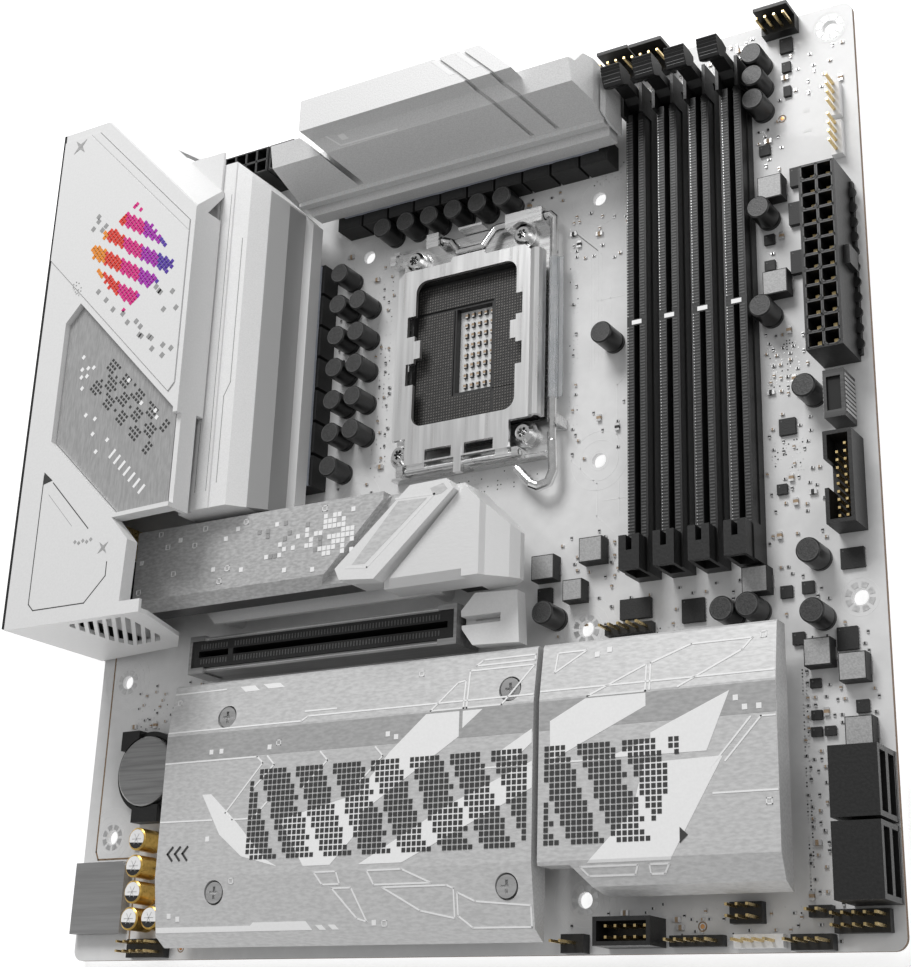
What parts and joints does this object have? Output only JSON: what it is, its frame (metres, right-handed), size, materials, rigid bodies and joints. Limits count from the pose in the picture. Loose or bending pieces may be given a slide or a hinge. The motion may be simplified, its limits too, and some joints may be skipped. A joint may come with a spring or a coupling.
{
  "type": "computer motherboard",
  "caption": "Small square computer motherboard, white, with processor socket, memory slots, expansion slot, heatsinks and a tall cover over the rear ports.",
  "frame": {"origin": "centre of the square board, on its underside (the plane that sits on the case standoffs)", "axes": "+X across the board away from the rear ports, +Y up the board towards the power heatsink, +Z out of the component side"},
  "size_m": [0.2493, 0.2489, 0.0465],
  "materials": {
    "pcb": "white solder mask",
    "io_shield": "black",
    "io_cover": "white satin",
    "io_cover_panel": "brushed grey",
    "io_cover_badge": "white semi-gloss",
    "heatsink_white": "white satin",
    "heatsink_silver": "fine silver grain",
    "pad": "soft thermal pad",
    "inductor": "dark grey ferrite",
    "can_black": "black sleeve",
    "plastic_black": "black moulding",
    "plastic_grey": "dark grey moulding",
    "plastic_white": "white moulding",
    "slot_plastic": "grey moulding with black walls",
    "contacts": "gold plated",
    "steel": "nickel plated",
    "steel_dark": "black coated steel",
    "wire_steel": "bright wire",
    "film": "clear film",
    "silver": "bare metal",
    "gold_can": "gold sleeve",
    "package": "moulded package",
    "tin": "tinned"
  },
  "bodies": {
    "board": {"pcb": "pcb", "io_shield": "io_shield", "io_cover": "io_cover", "io_cover_panel": "io_cover_panel", "io_cover_badge": "io_cover_badge", "vrm_heatsink_left": "heatsink_white", "vrm_heatsink_top": "heatsink_white", "thermal_pads": "pad", "inductors": "inductor", "polymer_capacitors": "can_black", "cpu_socket": "plastic_grey", "socket_contacts": "contacts", "socket_frame": "steel", "socket_screws": "steel", "socket_backplate": "steel_dark", "memory_slot_1": "slot_plastic", "memory_slot_2": "slot_plastic", "memory_slot_3": "slot_plastic", "memory_slot_4": "slot_plastic", "atx_power_connector": "plastic_black", "cpu_power_connectors": "plastic_black", "pcie_slot": "plastic_grey", "pcie_armor": "steel_dark", "m2_bracket": "silver", "m2_connectors": "plastic_black", "chipset": "silver", "chipset_heatsink": "heatsink_silver", "m2_cover_plate": "heatsink_silver", "heatsink_screws": "steel", "sata_connectors": "plastic_black", "usb3_header": "plastic_black", "usb_c_header": "silver", "pin_headers": "plastic_black", "rgb_headers": "plastic_white", "header_pins": "contacts", "battery": "steel", "battery_holder": "plastic_black", "audio_shield": "silver", "audio_capacitors": "gold_can", "chips": "package", "usb_ports": "tin", "network_port": "tin", "video_ports": "tin", "audio_jacks": "plastic_black", "antenna_connectors": "contacts", "solder_tails": "tin"},
    "load_lever": {"load_lever": "wire_steel", "lever_sleeve": "film"},
    "load_plate": {"load_plate": "steel"},
    "pcie_latch": {"pcie_latch": "plastic_white"},
    "m2_heatsink": {"m2_heatsink": "heatsink_silver"},
    "m2_clip": {"m2_clip": "plastic_white"},
    "m2_latch_1": {"m2_latch_1": "plastic_grey"},
    "m2_latch_2": {"m2_latch_2": "plastic_grey"},
    "bios_button": {"bios_button": "plastic_white"},
    "cmos_button": {"cmos_button": "plastic_black"},
    "memory_latch_1": {"memory_latch_1": "plastic_black"},
    "memory_latch_2": {"memory_latch_2": "plastic_black"},
    "memory_latch_3": {"memory_latch_3": "plastic_black"},
    "memory_latch_4": {"memory_latch_4": "plastic_black"}
  },
  "joints": [
    {"name": "lever_turn", "type": "hinge", "parent": "board", "child": "load_lever", "pos_m": [0.01, 0.0781, 0.0056], "axis": [-1, 0, 0], "range_deg": [0, 105]},
    {"name": "plate_turn", "type": "hinge", "parent": "board", "child": "load_plate", "pos_m": [0.0058, 0.0075, 0.0066], "axis": [1, 0, 0], "range_deg": [0, 84]},
    {"name": "memory_latch_1_turn", "type": "hinge", "parent": "board", "child": "memory_latch_1", "pos_m": [0.0613, 0.105, 0.0048], "axis": [-1, 0, 0], "range_deg": [0, 30]},
    {"name": "memory_latch_2_turn", "type": "hinge", "parent": "board", "child": "memory_latch_2", "pos_m": [0.0707, 0.105, 0.0048], "axis": [-1, 0, 0], "range_deg": [0, 30]},
    {"name": "memory_latch_3_turn", "type": "hinge", "parent": "board", "child": "memory_latch_3", "pos_m": [0.0801, 0.105, 0.0048], "axis": [-1, 0, 0], "range_deg": [0, 30]},
    {"name": "memory_latch_4_turn", "type": "hinge", "parent": "board", "child": "memory_latch_4", "pos_m": [0.0895, 0.105, 0.0048], "axis": [-1, 0, 0], "range_deg": [0, 30]},
    {"name": "pcie_latch_turn", "type": "hinge", "parent": "board", "child": "pcie_latch", "pos_m": [0.0135, -0.0396, 0.0036], "axis": [0, 1, 0], "range_deg": [0, 7], "stiffness_Nm_per_rad": 0.05},
    {"name": "m2_heatsink_tilt", "type": "hinge", "parent": "board", "child": "m2_heatsink", "pos_m": [-0.088, -0.017, 0.0256], "axis": [0, -1, 0], "range_deg": [0, 20]},
    {"name": "m2_clip_slide", "type": "slide", "parent": "m2_heatsink", "child": "m2_clip", "axis": [-0.7517, -0.6595, 0], "range_m": [0, 0.0035], "stiffness_N_per_m": 300},
    {"name": "m2_latch_1_turn", "type": "hinge", "parent": "board", "child": "m2_latch_1", "pos_m": [-0.0746, -0.017, 0.0029], "axis": [0, 0, 1], "range_deg": [0, 90]},
    {"name": "m2_latch_2_turn", "type": "hinge", "parent": "board", "child": "m2_latch_2", "pos_m": [-0.0576, -0.083, 0.0029], "axis": [0, 0, 1], "range_deg": [0, 90]},
    {"name": "bios_button_press", "type": "slide", "parent": "board", "child": "bios_button", "axis": [1, 0, 0], "range_m": [0, 0.0008], "stiffness_N_per_m": 800},
    {"name": "cmos_button_press", "type": "slide", "parent": "board", "child": "cmos_button", "axis": [1, 0, 0], "range_m": [0, 0.0008], "stiffness_N_per_m": 800}
  ],
  "couplings": [
    {"joint": "plate_turn", "follows": "lever_turn", "ratio": 0.8}
  ]
}
